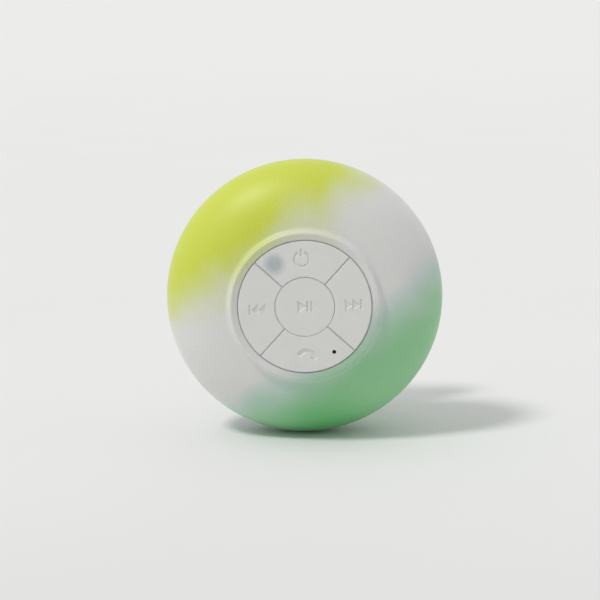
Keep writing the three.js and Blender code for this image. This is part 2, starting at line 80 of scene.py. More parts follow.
PAD_DEPTH = -centre_key_low.y       # face of the keys
KEY_BACK = -centre_key_high.y
PAD_RADIUS = power_high.z + 0.2 * MM
CENTRE_KEY_RADIUS = centre_key_high.x
KEY_GAP = 0.22 * MM
KEY_ROUND = 0.34 * MM               # of the front edges
KEY_CORNER = 0.45 * MM              # of the outline's corners
KEY_HOLE_RADIUS = PAD_RADIUS + 0.26 * MM
LIP_ROUND = 0.6 * MM
LIP_RADIUS = PAD_RADIUS + 2.1 * MM  # crest of the lip
LIP_SLOPE = 25                      # degrees, from the crest down to the keys

KEYS = {"power": 90, "previous": 180, "call": 270, "next": 0}      # degrees round the pad


def centre_of(node):
    low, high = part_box(node)
    return (low + high) / 2


# ---- camera, floor and light ----

VIEW_ELEVATION = math.radians(10.3)
ROLL = math.radians(3.3)            # the object leans this far to the left in the picture
VIEW_DISTANCE = 0.521               # to the widest ring
OFF_CENTRE = (1.469 * MM, 1.157 * MM)    # the speaker stands this far right of and above the middle
LENS = 100
SENSOR = 36
BACKDROP_LEVEL = 0.84
CLEARANCE = 0.05 * MM               # between the body's rim and the floor


def make_camera():
    """Looks down at the front from VIEW_ELEVATION, with the speaker rolled a little on the floor."""
    level_right = Vector((math.cos(ROLL), 0, -math.sin(ROLL)))
    upright = Vector((math.sin(ROLL), 0, math.cos(ROLL)))
    inwards = Vector((0, 1, 0))
    forward = math.cos(VIEW_ELEVATION) * inwards - math.sin(VIEW_ELEVATION) * upright
    up = math.sin(VIEW_ELEVATION) * inwards + math.cos(VIEW_ELEVATION) * upright

    right_by, up_by = OFF_CENTRE
    middle = Vector((0, -WIDEST_DEPTH, 0)) - level_right * right_by - up * up_by

    camera = bpy.data.objects.new("camera", bpy.data.cameras.new("camera"))
    camera.data.lens = LENS
    camera.data.sensor_width = SENSOR
    camera.data.clip_start = 0.01
    turn = Matrix((level_right, up, -forward)).transposed().to_4x4()
    camera.matrix_world = Matrix.Translation(middle - forward * VIEW_DISTANCE) @ turn
    bpy.context.scene.collection.objects.link(camera)
    bpy.context.scene.camera = camera


def soft_light(name, towards, spread_degrees, strength, color):
    """An even studio light from far off, as wide as its spread seen from the object."""
    light = bpy.data.lights.new(name, "SUN")
    light.angle = math.radians(spread_degrees)
    light.energy = strength
    light.color = color
    lamp = bpy.data.objects.new(name, light)
    lamp.rotation_mode = "QUATERNION"
    lamp.rotation_quaternion = Vector(towards).to_track_quat("Z", "Y")
    bpy.context.scene.collection.objects.link(lamp)


def make_floor():
    """A wide pale floor that touches the body's rim, level in the picture."""
    reach = 200.0
    bm = bmesh.new()
    bmesh.ops.create_grid(bm, x_segments=8, y_segments=8, size=reach)
    floor = object_from(bm, "floor")
    floor.rotation_euler = Euler((0, ROLL, 0))
    normal = Vector((math.sin(ROLL), 0, math.cos(ROLL)))
    floor.location = -normal * (BODY_RADIUS + CLEARANCE)
    floor.data.materials.append(floor_material())


def make_studio():
    """White surroundings that are dimmer on the camera's side; a camera sees an even pale backdrop."""
    world = bpy.data.worlds.new("studio")
    bpy.context.scene.world = world
    world.use_nodes = True
    tree = world.node_tree
    direction = tree.nodes.new("ShaderNodeTexCoord").outputs["Generated"]
    apart = tree.nodes.new("ShaderNodeSeparateXYZ")
    level = tree.nodes.new("ShaderNodeMapRange")
    level.interpolation_type = "SMOOTHSTEP"
    for socket, value in (("From Min", -0.9), ("From Max", 0.6), ("To Min", 0.42), ("To Max", 0.80)):
        level.inputs[socket].default_value = value
    seen = tree.nodes.new("ShaderNodeLightPath").outputs["Is Camera Ray"]
    backdrop = tree.nodes.new("ShaderNodeMix")
    backdrop.inputs["B"].default_value = BACKDROP_LEVEL
    background = tree.nodes["Background"]
    background.inputs["Color"].default_value = (1, 1, 1, 1)
    for output, socket in (
        (direction, apart.inputs[0]),
        (apart.outputs["Y"], level.inputs["Value"]),
        (seen, backdrop.inputs["Factor"]),
        (level.outputs["Result"], backdrop.inputs["A"]),
        (backdrop.outputs["Result"], background.inputs["Strength"]),
    ):
        tree.links.new(output, socket)


def make_light():
    """The studio, and one soft light from the upper left in front of the speaker."""
    make_studio()
    soft_light("key_light", (-0.60, -0.40, 1.18), 12, 1.42, (1.0, 0.995, 0.985))
    bpy.context.scene.view_settings.view_transform = "Standard"


# ---- mesh tools ----

def object_from(bm, name):
    mesh = bpy.data.meshes.new(name)
    bm.to_mesh(mesh)
    bm.free()
    made = bpy.data.objects.new(name, mesh)
    bpy.context.scene.collection.objects.link(made)
    return made


def clean(bm, merge=0.0001 * MM):
    """Merges doubled points and drops slivers."""
    bmesh.ops.remove_doubles(bm, verts=bm.verts, dist=merge)
    bmesh.ops.dissolve_degenerate(bm, edges=bm.edges, dist=0.00001 * MM)


def anticlockwise(outline):
    """The same outline, reversed if it runs clockwise, so that faces made from it point outwards."""
    following = outline[1:] + outline[:1]
    area = sum(a[0] * b[1] - b[0] * a[1] for a, b in zip(outline, following))
    return outline if area > 0 else outline[::-1]


def lathe(name, profile, around=240):
    """A closed solid turned about the speaker's axis from (radius, depth) points."""
    profile = anticlockwise(profile)[::-1]
    bm = bmesh.new()
    rings = []
    for i in range(around):
        angle = 2 * math.pi * i / around
        rings.append([
            bm.verts.new((radius * math.cos(angle), -depth, radius * math.sin(angle)))
            for radius, depth in profile
        ])
    count = len(profile)
    for i, here in enumerate(rings):
        beyond = rings[(i + 1) % around]
        for k in range(count):
            following = (k + 1) % count
            if profile[k][0] == 0 and profile[following][0] == 0:
                continue
            bm.faces.new((here[k], here[following], beyond[following], beyond[k]))
    clean(bm)
    return object_from(bm, name)


def prism(bm, outline, back, front, flare=0.0):
    """Adds a closed solid between two depths, with a flat outline in X and Z that may grow to the front."""
    outline = anticlockwise(outline)
    near = [bm.verts.new((x, -front, z)) for x, z in (grown(outline, flare) if flare else outline)]
    far = [bm.verts.new((x, -back, z)) for x, z in outline]
    bm.faces.new(near)
    bm.faces.new(list(reversed(far)))
    for i in range(len(outline)):
        j = (i + 1) % len(outline)
        bm.faces.new((near[j], near[i], far[i], far[j]))


def prism_object(name, outlines, back, front):
    bm = bmesh.new()
    for outline in outlines:
        prism(bm, outline, back, front)
    return object_from(bm, name)


def combine(target, tool, operation="DIFFERENCE"):
    """Cuts or joins one solid with another, and removes the other."""
    modifier = target.modifiers.new("combine", "BOOLEAN")
    modifier.operation = operation
    modifier.object = tool
    modifier.solver = "EXACT"
    graph = bpy.context.evaluated_depsgraph_get()
    result = bpy.data.meshes.new_from_object(target.evaluated_get(graph))
    target.modifiers.clear()
    bm = bmesh.new()
    bm.from_mesh(result)
    clean(bm, 0.003 * MM)
    bm.to_mesh(result)
    bm.free()
    old = target.data
    target.data = result
    bpy.data.meshes.remove(old)
    bpy.data.objects.remove(tool)
    return target


def smooth(piece, sharp_degrees=38):
    """Smooth shading that keeps corners crisp and large faces flat."""
    mesh = piece.data
    bm = bmesh.new()
    bm.from_mesh(mesh)
    limit = math.radians(sharp_degrees)
    for face in bm.faces:
        face.smooth = True
    for edge in bm.edges:
        edge.smooth = len(edge.link_faces) == 2 and edge.calc_face_angle(0) < limit
    bm.to_mesh(mesh)
    bm.free()
    weighted = piece.modifiers.new("weighted_normals", "WEIGHTED_NORMAL")
    weighted.keep_sharp = True
    return piece


def arc(centre, size, start, end, steps):
    """Points on an ellipse, from one angle to another in degrees."""
    points = []
    for i in range(steps + 1):
        angle = math.radians(start + (end - start) * i / steps)
        points.append((centre[0] + size[0] * math.cos(angle), centre[1] + size[1] * math.sin(angle)))
    return points


def bezier(controls, steps):
    """Points on a Bezier curve of any degree, by de Casteljau's steps."""
    points = []
    for i in range(steps + 1):
        t = i / steps
        level = [Vector(c) for c in controls]
        while len(level) > 1:
            level = [a.lerp(b, t) for a, b in zip(level, level[1:])]
        points.append(tuple(level[0]))
    return points


def polar(radius, degrees):
    angle = math.radians(degrees)
    return (radius * math.cos(angle), radius * math.sin(angle))


def dress(piece, body, slot, material, *nodes):
    """Gives a finished piece its material, body and the CAD nodes that it stands for; the record slot is not
    used.
    """
    piece.data.materials.clear()
    piece.data.materials.append(material)
    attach(piece, body)
    if nodes:
        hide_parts(*nodes)
    return piece


# ---- materials ----

class Look:
    """One procedural material. Texture coordinates are the piece's own, in metres."""

    def __init__(self, name, color=(0.8, 0.8, 0.8), roughness=0.5, metallic=0.0, **sockets):
        self.material = bpy.data.materials.new(name)
        self.material.use_nodes = True
        self.tree = self.material.node_tree
        self.surface = self.tree.nodes["Principled BSDF"]
        self.set("Base Color", (*color, 1))
        self.set("Roughness", roughness)
        self.set("Metallic", metallic)
        for socket, value in sockets.items():
            self.set(socket.replace("_", " "), value)
        coordinates = self.tree.nodes.new("ShaderNodeTexCoord")
        self.place = coordinates.outputs["Object"]

    def set(self, socket, value):
        self.surface.inputs[socket].default_value = value

    def feed(self, socket, output):
        self.tree.links.new(output, self.surface.inputs[socket])

    def node(self, kind, inputs=(), **settings):
        made = self.tree.nodes.new(kind)
        for key, value in settings.items():
            setattr(made, key, value)
        for key, value in dict(inputs).items():
            if isinstance(value, bpy.types.NodeSocket):
                self.tree.links.new(value, made.inputs[key])
            else:
                made.inputs[key].default_value = value
        return made

    def math(self, operation, a, b=0.0):
        return self.node("ShaderNodeMath", {0: a, 1: b}, operation=operation).outputs[0]

    def noise(self, size, detail=3.0, stretch=(1, 1, 1)):
        """Soft noise from 0 to 1, with lumps of a size in metres."""
        place = self.place
        if stretch != (1, 1, 1):
            place = self.node("ShaderNodeMapping", {"Vector": self.place, "Scale": stretch}).outputs[0]
        made = self.node("ShaderNodeTexNoise", {"Vector": place, "Scale": 1 / size, "Detail": detail})
        return made.outputs["Fac"]

    def fade(self, value, start, end, low=0.0, high=1.0):
        """A soft step from low at start to high at end."""
        made = self.node(
            "ShaderNodeMapRange",
            {"Value": value, "From Min": start, "From Max": end, "To Min": low, "To Max": high},
            interpolation_type="SMOOTHSTEP",
        )
        return made.outputs["Result"]

    def blend(self, share, a, b, blend_type="MIX"):
        """Colour a turning into colour b as share goes from 0 to 1."""
        made = self.node("ShaderNodeMix", data_type="RGBA", blend_type=blend_type)
        for socket, value in ((made.inputs[0], share), (made.inputs[6], a), (made.inputs[7], b)):
            if isinstance(value, bpy.types.NodeSocket):
                self.tree.links.new(value, socket)
            elif isinstance(value, tuple):
                socket.default_value = (*value, 1)
            else:
                socket.default_value = value
        return made.outputs[2]

    def scale(self, color, share):
        """A colour made darker or lighter by a share."""
        return self.node("ShaderNodeVectorMath", {0: color, "Scale": share}, operation="SCALE").outputs[0]

    def along(self, direction):
        """Distance along a direction from the row's origin."""
        made = self.node("ShaderNodeVectorMath", {0: self.place, 1: direction}, operation="DOT_PRODUCT")
        return made.outputs["Value"]

    def near(self, centre, flatten=(1, 0, 1)):
        """Distance from a point, measured only along the axes that flatten keeps."""
        here = self.node("ShaderNodeVectorMath", {0: self.place, 1: flatten}, operation="MULTIPLY")
        there = tuple(c * f for c, f in zip(centre, flatten))
        made = self.node("ShaderNodeVectorMath", {0: here.outputs[0], 1: there}, operation="DISTANCE")
        return made.outputs["Value"]

    def bump(self, height, depth, strength=1.0):
        """Relief of a depth in metres from a height that runs from 0 to 1."""
        made = self.node("ShaderNodeBump", {"Height": height, "Distance": depth, "Strength": strength})
        self.feed("Normal", made.outputs[0])

    def vary(self, socket, value, low, high):
        """Lets a number on the surface run between two limits as value goes from 0 to 1."""
        self.feed(socket, self.node(
            "ShaderNodeMapRange", {"Value": value, "To Min": low, "To Max": high}).outputs["Result"])


CHARTREUSE = (0.615, 0.69, 0.068)
SHELL_WHITE = (0.75, 0.75, 0.735)
MINT = (0.29, 0.61, 0.315)
# deep mint: partly the coat's own colour, partly painted shade where the body faces the floor
DEEP_MINT_AND_SHADE = (0.10, 0.47, 0.14)
PALE_TEAL = (0.52, 0.67, 0.60)
BAND_SLOPE = math.radians(33)       # how far the bands of colour rise to the right
PALE_PATCHES = [((14, 31), 10, 0.4), ((1, 27), 11, 0.33), ((42, -6), 18, 0.4)]
# each patch: its (x, z) and its radius in mm, and how much it thins the coat


def shell_material(name="soft_touch_gradient"):
    """Soft-touch coat sprayed in wide soft bands: chartreuse, white, then mint, with painted shade in the
    lip and towards the bottom.
    """
    look = Look(name, roughness=0.46, Specular_IOR_Level=0.5, Sheen_Weight=0.25, Sheen_Roughness=0.35)
    across = look.along((-math.sin(BAND_SLOPE), 0, math.cos(BAND_SLOPE)))
    for size, swing in ((20 * MM, 15 * MM), (7 * MM, 4 * MM)):
        lumps = look.math("SUBTRACT", look.noise(size, detail=1.5), 0.5)
        across = look.math("ADD", across, look.math("MULTIPLY", lumps, swing))

    coat = look.fade(look.near((0, 0, 0)), 22 * MM, 23.5 * MM, 0.82, 1)
    for (x, z), radius, strength in PALE_PATCHES:
        patch = look.fade(look.near((x * MM, 0, z * MM)), radius * MM, 1 * MM, 1, 1 - strength)
        coat = look.math("MULTIPLY", coat, patch)
    chartreuse = look.fade(across, 11 * MM, 29 * MM)
    teal = look.fade(across, -7.5 * MM, -17 * MM)
    mint = look.fade(across, -12 * MM, -28 * MM)
    # darker, deeper mint towards the bottom: partly the coat's colour, partly painted shade on the
    # downward-facing side
    deep_mint_and_shade = look.fade(look.near((5 * MM, 0, -46 * MM)), 24 * MM, 3 * MM)

    color = look.blend(look.math("MULTIPLY", chartreuse, coat), SHELL_WHITE, CHARTREUSE)
    color = look.blend(look.math("MULTIPLY", teal, coat), color, PALE_TEAL)
    color = look.blend(mint, color, MINT)
    color = look.blend(deep_mint_and_shade, color, DEEP_MINT_AND_SHADE)
    # painted shade: the lip's inner slope is coloured darker at the lower right, where the light leaves it
    # too pale
    in_lip = look.fade(look.near((0, 0, 0)), 22.8 * MM, 22.0 * MM)
    low_right_painted_shade = look.fade(look.along((0.6, 0, -0.8)), 4 * MM, 20 * MM, 0, 0.22)
    shade = look.math("SUBTRACT", 1.0, look.math("MULTIPLY", in_lip, low_right_painted_shade))
    speckle = look.fade(look.noise(0.5 * MM, detail=2), 0.3, 0.7, 0.975, 1.02)
    look.feed("Base Color", look.scale(color, look.math("MULTIPLY", speckle, shade)))
    look.vary("Roughness", look.noise(3 * MM), 0.43, 0.50)
    grain = look.math("ADD", look.noise(0.18 * MM, detail=1), look.noise(1.4 * MM, detail=1))
    look.bump(grain, 0.006 * MM)
    return look.material


def key_material():
    """Off-white silicone with the status light showing through as a soft blue-grey spot."""
    look = Look("key_silicone", roughness=0.52, Subsurface_Weight=0.12, Subsurface_Scale=0.8 * MM)
    look.set("Subsurface Radius", (1.0, 0.9, 0.8))
    tint = look.fade(look.noise(6 * MM), 0.3, 0.7)
    body = look.blend(tint, (0.770, 0.768, 0.752), (0.785, 0.782, 0.768))
    glow = centre_of("status_led") + Vector((-0.3, 0, 0.45)) * MM
    spot = look.fade(look.near(glow), 4.3 * MM, 1.2 * MM, 0, 1)
    cloudy = look.fade(look.noise(1.6 * MM), 0.2, 0.8, 0.86, 1.0)
    spot = look.math("MULTIPLY", spot, cloudy)
    look.feed("Base Color", look.blend(spot, body, (0.48, 0.525, 0.54)))
    look.vary("Roughness", look.noise(1.2 * MM), 0.48, 0.58)
    look.bump(look.noise(0.12 * MM, detail=2), 0.004 * MM)
    return look.material


def cup_material():
    """Milky translucent silicone, smooth inside and out."""
    look = Look("clear_silicone", color=(0.86, 0.90, 0.89), roughness=0.22, IOR=1.41,
                Transmission_Weight=0.75, Subsurface_Weight=0.15, Subsurface_Scale=3 * MM)
    look.set("Alpha", 0.82)
    haze = look.fade(look.noise(7 * MM), 0.3, 0.7)
    look.feed("Base Color", look.blend(haze, (0.84, 0.89, 0.88), (0.90, 0.93, 0.92)))
    look.vary("Roughness", look.noise(2 * MM), 0.18, 0.30)
    look.bump(look.noise(0.9 * MM, detail=2), 0.01 * MM)
    return look.material


def plastic_material(name, color, roughness=0.5, grain=0.25 * MM):
    """Moulded plastic or rubber with a fine spark-eroded texture."""
    look = Look(name, color=color, roughness=roughness)
    tone = look.fade(look.noise(2.5 * MM), 0.3, 0.7)
    darker = tuple(c * 0.86 for c in color)
    look.feed("Base Color", look.blend(tone, darker, color))
    look.vary("Roughness", look.noise(1 * MM), roughness - 0.06, roughness + 0.06)
    look.bump(look.noise(grain, detail=2), 0.02 * MM)
    return look.material


def metal_material(name, color, roughness=0.3, brushed=False):
    """Plated or drawn metal with fine marks and uneven polish."""
    look = Look(name, color=color, roughness=roughness, metallic=1.0)
    stretch = (1, 0.08, 1) if brushed else (1, 1, 1)
    marks = look.noise(0.3 * MM, detail=3, stretch=stretch)
    dull = tuple(c * 0.8 for c in color)
    look.feed("Base Color", look.blend(look.fade(look.noise(1.5 * MM), 0.25, 0.75), dull, color))
    look.vary("Roughness", marks, roughness - 0.08, roughness + 0.12)
    look.bump(marks, 0.008 * MM)
    return look.material


def board_material():
    """Green solder mask with a raised net of tracks and small tinned pads."""
    look = Look("circuit_board", roughness=0.35)
    tracks = look.node("ShaderNodeTexBrick", {
        "Vector": look.node("ShaderNodeMapping", {
            "Vector": look.place, "Rotation": (math.pi / 2, 0, 0)}).outputs[0],
        "Scale": 1 / (4 * MM), "Mortar Size": 0.06, "Mortar Smooth": 0.3,
    }).outputs["Fac"]
    dots = look.node("ShaderNodeTexVoronoi", {"Vector": look.place, "Scale": 1 / (2.3 * MM)})
    pads = look.fade(dots.outputs["Distance"], 0.16, 0.13)
    mask = look.blend(tracks, (0.012, 0.13, 0.055), (0.02, 0.20, 0.085))
    look.feed("Base Color", look.blend(pads, mask, (0.62, 0.60, 0.55)))
    look.vary("Metallic", pads, 0.0, 1.0)
    look.bump(look.math("ADD", tracks, pads), 0.03 * MM)
    return look.material


def weave_material(name, color, pitch, roughness=0.9):
    """Woven or meshed cloth: two crossed rows of round threads, with painted shade in the gaps between them.
    """
    look = Look(name, color=color, roughness=roughness, Sheen_Weight=0.2)
    rows = []
    for direction in ("X", "Z"):
        rows.append(look.node("ShaderNodeTexWave", {
            "Vector": look.place, "Scale": 0.5 / pitch / math.pi,
        }, bands_direction=direction).outputs["Fac"])
    threads = look.math("MAXIMUM", *rows)
    thread_gap_shade = tuple(c * 0.35 for c in color)
    look.feed("Base Color", look.blend(threads, thread_gap_shade, color))
    look.vary("Roughness", threads, roughness, roughness - 0.1)
    look.bump(threads, 0.1 * MM)
    return look.material


def floor_material():
    """Matt paper, painted a little darker towards the camera and lighter far off: painted shade and painted
    light.
    """
    look = Look("floor", roughness=0.8, Specular_IOR_Level=0.2)
    depth = look.along((0, 1, 0))
    # painted shade near the camera and painted light far off, in place of the light's fall-off over the
    # floor
    color = look.blend(look.fade(depth, -0.21, -0.06), (0.757, 0.760, 0.748), (0.802, 0.806, 0.798))
    color = look.blend(look.fade(depth, 0.1, 3.0), color, (0.826, 0.828, 0.823))
    mottle = look.fade(look.noise(0.12), 0.3, 0.7, 0.995, 1.005)
    look.feed("Base Color", look.scale(color, mottle))
    return look.material


# ---- outlines ----

def rounded_rectangle(centre, width, height, radius, corner_steps=8, side_steps=1):
    """Points of an outline, anticlockwise from the right side's top corner."""
    corners = []
    for quarter, (side, end) in enumerate(((1, 1), (-1, 1), (-1, -1), (1, -1))):
        corner = (centre[0] + side * (width / 2 - radius), centre[1] + end * (height / 2 - radius))
        corners.append(arc(corner, (radius, radius), 90 * quarter, 90 * (quarter + 1), corner_steps))
    outline = []
    for corner, following in zip(corners, corners[1:] + corners[:1]):
        start, stop = Vector(corner[-1]), Vector(following[0])
        outline += corner
        outline += [tuple(start.lerp(stop, i / side_steps)) for i in range(1, side_steps)]
    return outline


def circle(centre, radius, steps=32):
    return arc(centre, (radius, radius), 0, 360, steps)[:-1]


def turned_outline(outline, degrees, about=(0, 0)):
    """An outline rotated anticlockwise about a point."""
    c, s = math.cos(math.radians(degrees)), math.sin(math.radians(degrees))
    turned = []
    for x, z in outline:
        right, up = x - about[0], z - about[1]
        turned.append((about[0] + right * c - up * s, about[1] + right * s + up * c))
    return turned


def grown(outline, distance):
    """An anticlockwise outline moved outwards by a distance on every side."""
    points = [Vector(point) for point in outline]
    before = points[-1:] + points[:-1]
    after = points[1:] + points[:1]
    moved = []
    for a, b, c in zip(before, points, after):
        first, second = (b - a).normalized(), (c - b).normalized()
        both = Vector((first.y + second.y, -first.x - second.x))
        moved.append(tuple(b + both * distance / (1 + first.dot(second))))
    return moved


def along_x(name, outlines, from_x, to_x):
    """Solids whose outlines are given in depth and Z, pushed through along X."""
    tool = prism_object(name, outlines, from_x, to_x)
    mirrored = Matrix(((0, -1, 0, 0), (-1, 0, 0, 0), (0, 0, 1, 0), (0, 0, 0, 1)))
    tool.data.transform(mirrored)       # (depth, -x, z) becomes (x, -depth, z)
    tool.data.flip_normals()
    return tool


def pillars(name, places, radius, back, front, steps=40):
    """Round posts or holes at each place, in one tool."""
    return prism_object(name, [circle(place, radius, steps) for place in places], back, front)


def drill(target, places, radius, back, front):
    """Round holes at each place, cut one after another."""
    for place in places:
        combine(target, pillars("drill", [place], radius, back, front, steps=36))


# ---- shells ----

SHELL_CENTRE = (FLAT_RADIUS, WIDEST_DEPTH)
INNER_RIM = RIM - WALL
INNER_FRONT_RISE = FRONT_RISE - WALL
INNER_REAR_RISE = REAR_RISE - REAR_WALL
SEAL_LEDGE_RADIUS = 38.6 * MM
SEAL_LEDGE_DEPTH = 33 * MM
LEDGE_DEPTH = KEY_BACK - 0.4 * MM
LEDGE_RADIUS = 24.8 * MM
LIP_FOOT_RADIUS = 24.4 * MM
SEAM_ROUND = 0.25 * MM
SHELL_BOSSES = [polar(34.5 * MM, degrees) for degrees in (45, 135, 225, 315)]
BOARD_BOSSES = [polar(27 * MM, degrees) for degrees in (90, 210, 330)]
DRIVER_BOSSES = [polar(22 * MM, degrees) for degrees in (30, 150, 270)]
PORT = centre_of("charge_port")
PORT_DEPTH = -PORT.y
PORT_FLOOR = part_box("charge_port")[1].x + 0.3 * MM


def angle_at_depth(depth, rise):
    return math.degrees(math.asin((depth - WIDEST_DEPTH) / rise))


def angle_at_radius(radius, rim):
    return math.degrees(math.acos((radius - FLAT_RADIUS) / rim))


def lip_profile():
    """The soft foot, rounded crest and inner slope of the lip round the key pad."""
    crest_centre = (LIP_RADIUS, LIP_DEPTH - LIP_ROUND)
    outer_angle = 35
    crest = arc(crest_centre, (LIP_ROUND, LIP_ROUND), outer_angle, 90 + LIP_SLOPE, 18)
    foot_angle = math.radians(angle_at_radius(LIP_FOOT_RADIUS, RIM))
    foot = Vector((
        FLAT_RADIUS + RIM * math.cos(foot_angle),
        WIDEST_DEPTH + FRONT_RISE * math.sin(foot_angle),
    ))
    inwards = Vector((-RIM * math.sin(foot_angle), FRONT_RISE * math.cos(foot_angle))).normalized()
    turn = math.radians(outer_angle)
    down = Vector((math.sin(turn), -math.cos(turn)))
    sweep = bezier((foot, foot + inwards * 1.0 * MM, Vector(crest[0]) + down * 0.7 * MM, crest[0]), 16)

    edge_round = 0.3 * MM
    slope = math.radians(LIP_SLOPE)
    edge_radius = KEY_HOLE_RADIUS + edge_round
    last_radius, last_depth = crest[-1]
    edge_centre_depth = (
        last_depth - (last_radius - edge_radius + edge_round * math.sin(slope)) * math.tan(slope)
        - edge_round * math.cos(slope)
    )
    edge = arc((edge_radius, edge_centre_depth), (edge_round, edge_round), 90 + LIP_SLOPE, 180, 7)
    return sweep[1:-1] + crest + edge


def front_profile():
    seam_angle = angle_at_depth(FRONT_SEAM + SEAM_ROUND, FRONT_RISE)
    rim = arc(SHELL_CENTRE, (RIM, FRONT_RISE), seam_angle, angle_at_radius(LIP_FOOT_RADIUS, RIM), 54)
    inner_end = angle_at_depth(WIDEST_DEPTH + 1 * MM, INNER_FRONT_RISE)
    inner_rim = arc(
        SHELL_CENTRE, (INNER_RIM, INNER_FRONT_RISE), angle_at_radius(LEDGE_RADIUS, INNER_RIM), inner_end, 24)
    return [
        (BODY_RADIUS - SEAM_ROUND, FRONT_SEAM),
        *rim, *lip_profile(),
        (KEY_HOLE_RADIUS, LEDGE_DEPTH), (LEDGE_RADIUS, LEDGE_DEPTH),
        *inner_rim,
        (SEAL_LEDGE_RADIUS, WIDEST_DEPTH + 0.5 * MM), (SEAL_LEDGE_RADIUS, FRONT_SEAM),
    ]


def front_bosses():
    """Screw posts that grow out of the front shell's inner face."""
    posts = pillars("posts", BOARD_BOSSES, 2.3 * MM, 46.3 * MM, LIP_DEPTH)
    combine(posts, pillars("posts2", SHELL_BOSSES, 3.6 * MM, 37 * MM, LIP_DEPTH), "UNION")
    embed = 1 * MM
    rim = arc(SHELL_CENTRE, (INNER_RIM + embed, INNER_FRONT_RISE + embed), 0,
              angle_at_radius(24 * MM, INNER_RIM + embed), 24)
    hollow = lathe("hollow", [(0, WIDEST_DEPTH), *rim, (0, rim[-1][1])], 96)
    return combine(posts, hollow, "INTERSECT")


def make_front_shell(material):
    shell = lathe("front_shell_skin", front_profile())
    combine(shell, front_bosses(), "UNION")
    drill(shell, BOARD_BOSSES, 1.2 * MM, 46 * MM, 49.6 * MM)
    drill(shell, SHELL_BOSSES, 1.5 * MM, 36 * MM, 43 * MM)
    dress(smooth(shell), "housing", "soft_touch_shell", material, "front_shell")


SOCKET_RADIUS = 5.1 * MM            # of the bore that holds the cup's stem
NECK_RADIUS = 3.6 * MM
SOCKET_LIP = REAR_DEPTH + 1.6 * MM
SOCKET_END = 22.4 * MM
SCREW_SEAT = 27 * MM


def rear_profile():
    seam_angle = angle_at_depth(REAR_SEAM - SEAM_ROUND, REAR_RISE)
    outside = arc(SHELL_CENTRE, (RIM, REAR_RISE), -90, seam_angle, 60)
    inside = arc(SHELL_CENTRE, (INNER_RIM, INNER_REAR_RISE), -26, -90, 24)
    mouth = 0.4 * MM
    return [
        (NECK_RADIUS + mouth, REAR_DEPTH),
        *[(radius, REAR_DEPTH) for radius in (8 * MM, 12 * MM, 16 * MM)],
        *outside,
        (BODY_RADIUS - SEAM_ROUND, REAR_SEAM), (BODY_RADIUS - WALL, REAR_SEAM),
        (BODY_RADIUS - WALL, SEAL_LEDGE_DEPTH), (SEAL_LEDGE_RADIUS, SEAL_LEDGE_DEPTH),
        *inside,
        (7.4 * MM, REAR_DEPTH + REAR_WALL), (7.4 * MM, 23.8 * MM), (0, 23.8 * MM),
        (0, SOCKET_END), (SOCKET_RADIUS, SOCKET_END), (SOCKET_RADIUS, SOCKET_LIP),
        (NECK_RADIUS, SOCKET_LIP), (NECK_RADIUS, REAR_DEPTH + mouth),
    ]


def whole_body():
    rear = arc(SHELL_CENTRE, (RIM, REAR_RISE), -90, 0, 48)
    return lathe("body", [(0, REAR_DEPTH), *rear, (0, WIDEST_DEPTH)])


def rear_bosses():
    posts = pillars("posts", SHELL_BOSSES, 4 * MM, 20 * MM, 31 * MM)
    combine(posts, pillars("posts2", DRIVER_BOSSES, 2.2 * MM, 19 * MM, 21.7 * MM), "UNION")
    block = rounded_rectangle((PORT_DEPTH - 0.2 * MM, -0.3 * MM), 7.8 * MM, 17.8 * MM, 1 * MM)
    combine(posts, along_x("block", [block], 35.5 * MM, 42 * MM), "UNION")
    return combine(posts, whole_body(), "INTERSECT")


POCKET_LOW, POCKET_HIGH = -7.6 * MM, 7 * MM      # the recess that the port cover fills
POCKET_HALF = 2.8 * MM


def sound_slots():
    """Radial slots with round ends, each with a widened mouth at the outer face."""
    count = 16
    slots = []
    mouths = []
    for i in range(count):
        degrees = (i + 0.5) * 360 / count
        middle = (14.1 * MM, 0)
        slots.append(turned_outline(rounded_rectangle(middle, 6.2 * MM, 1.6 * MM, 0.79 * MM), degrees))
        mouths.append(turned_outline(rounded_rectangle(middle, 6.7 * MM, 2.1 * MM, 1.04 * MM), degrees))
    tool = prism_object("slots", slots, REAR_DEPTH - 1 * MM, REAR_DEPTH + 3 * MM)
    return tool, prism_object("mouths", mouths, REAR_DEPTH - 1 * MM, REAR_DEPTH + 0.3 * MM)


def make_rear_shell(material):
    shell = lathe("rear_shell_skin", rear_profile())
    combine(shell, rear_bosses(), "UNION")
    for tool in sound_slots():
        combine(shell, tool)
    drill(shell, SHELL_BOSSES, 2.9 * MM, 15 * MM, SCREW_SEAT)
    drill(shell, SHELL_BOSSES, 1.6 * MM, 26 * MM, 32 * MM)
    drill(shell, DRIVER_BOSSES, 1.2 * MM, 18.4 * MM, 22 * MM)
    pocket = rounded_rectangle(
        (PORT_DEPTH, (POCKET_LOW + POCKET_HIGH) / 2), 2 * POCKET_HALF, POCKET_HIGH - POCKET_LOW, 1.2 * MM)
    combine(shell, along_x("pocket", [pocket], PORT_FLOOR, 50 * MM))
    slot = rounded_rectangle((PORT_DEPTH, 0), 3.8 * MM, 9.6 * MM, 1.89 * MM)
    combine(shell, along_x("slot", [slot], 34 * MM, 40 * MM))
    dress(smooth(shell), "housing", "soft_touch_shell", material, "rear_shell")


# ---- key symbols, all generic, sunk into the keys ----

SYMBOL_DEPTH = 0.36 * MM
SYMBOL_FLARE = 0.26 * MM            # how far a symbol's walls lean outwards
STROKE = 0.34 * MM


def triangle(tip, length, height):
    """A triangle that points along X: to the right for a positive length."""
    back = tip[0] - length
    points = [tip, (back, tip[1] + height / 2), (back, tip[1] - height / 2)]
    return points if length > 0 else points[::-1]


def bar(centre, width, height):
    return rounded_rectangle(centre, width, height, width * 0.3, corner_steps=2)


